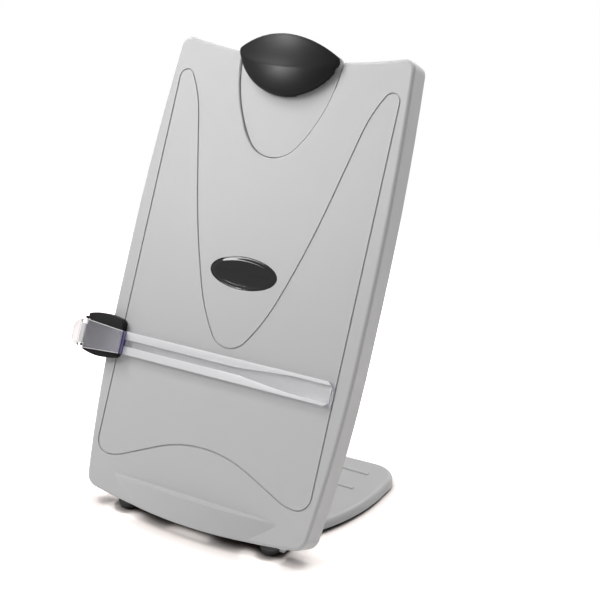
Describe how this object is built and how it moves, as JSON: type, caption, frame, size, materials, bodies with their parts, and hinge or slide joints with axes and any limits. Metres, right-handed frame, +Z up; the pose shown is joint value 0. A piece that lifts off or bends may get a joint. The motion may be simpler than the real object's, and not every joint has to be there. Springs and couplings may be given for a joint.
{
  "type": "copy holder with line guide",
  "caption": "Tilting desk copy holder: curved grey panel with paper ledge, sliding spring clip, weighted folding base and a clear line guide on an edge slider.",
  "frame": {"origin": "on the desk, midway between the sides, straight below the axis of the panel's hinge", "axes": "+Z up, +Y to the back, +X to the reader's right"},
  "size_m": [0.275, 0.2015, 0.3968],
  "materials": {
    "grey_plastic": "fine satin texture, moulded",
    "black_plastic": "satin, moulded",
    "badge_gloss": "gloss",
    "clear_plastic": "clear, polished, slightly violet at its edges",
    "rubber": "matt",
    "pale_bearing_plastic": "smooth",
    "steel": "zinc plated"
  },
  "bodies": {
    "base": {"base_shell": "grey_plastic", "base_cover": "grey_plastic", "base_cover_screws": "steel", "ballast_plate": "steel", "front_feet": "rubber", "rear_feet": "rubber", "hinge_pins": "steel", "hinge_rings": "steel", "hinge_washers": "pale_bearing_plastic"},
    "panel": {"front_panel": "grey_plastic", "badge": "badge_gloss", "rear_cover": "grey_plastic", "rear_cover_screws": "steel"},
    "carrier": {"clip_carrier": "grey_plastic", "carrier_catch": "black_plastic", "carrier_catch_screw": "steel", "carrier_brake_springs": "steel", "clip_pin": "steel", "clip_spring": "steel"},
    "clip": {"clip_lever": "black_plastic", "clip_grip_pad": "rubber"},
    "slider": {"slider_body": "black_plastic", "slider_back_plate": "black_plastic", "slider_screws": "steel", "slider_brake_spring": "steel", "guide_pin": "steel", "guide_spring": "steel"},
    "guide": {"guide_arm": "clear_plastic"}
  },
  "joints": [
    {"name": "panel_tilt", "type": "hinge", "parent": "base", "child": "panel", "pos_m": [0, 0, 0.012], "axis": [-1, 0, 0], "range_deg": [-8, 64]},
    {"name": "clip_height", "type": "slide", "parent": "panel", "child": "carrier", "axis": [0, 0.4305, 0.9026], "range_m": [0, 0.04]},
    {"name": "clip_open", "type": "hinge", "parent": "carrier", "child": "clip", "pos_m": [0, 0.15152, 0.37404], "axis": [-1, 0, 0], "range_deg": [0, 20], "stiffness_Nm_per_rad": 0.6, "springref_deg": -20.05},
    {"name": "guide_height", "type": "slide", "parent": "panel", "child": "slider", "axis": [0, 0.4305, 0.9026], "range_m": [-0.075, 0.195]},
    {"name": "guide_lift", "type": "hinge", "parent": "slider", "child": "guide", "pos_m": [-0.1424, 0.03763, 0.13664], "axis": [0, -0.4305, -0.9026], "range_deg": [0, 20], "stiffness_Nm_per_rad": 0.05, "springref_deg": -17.19}
  ]
}
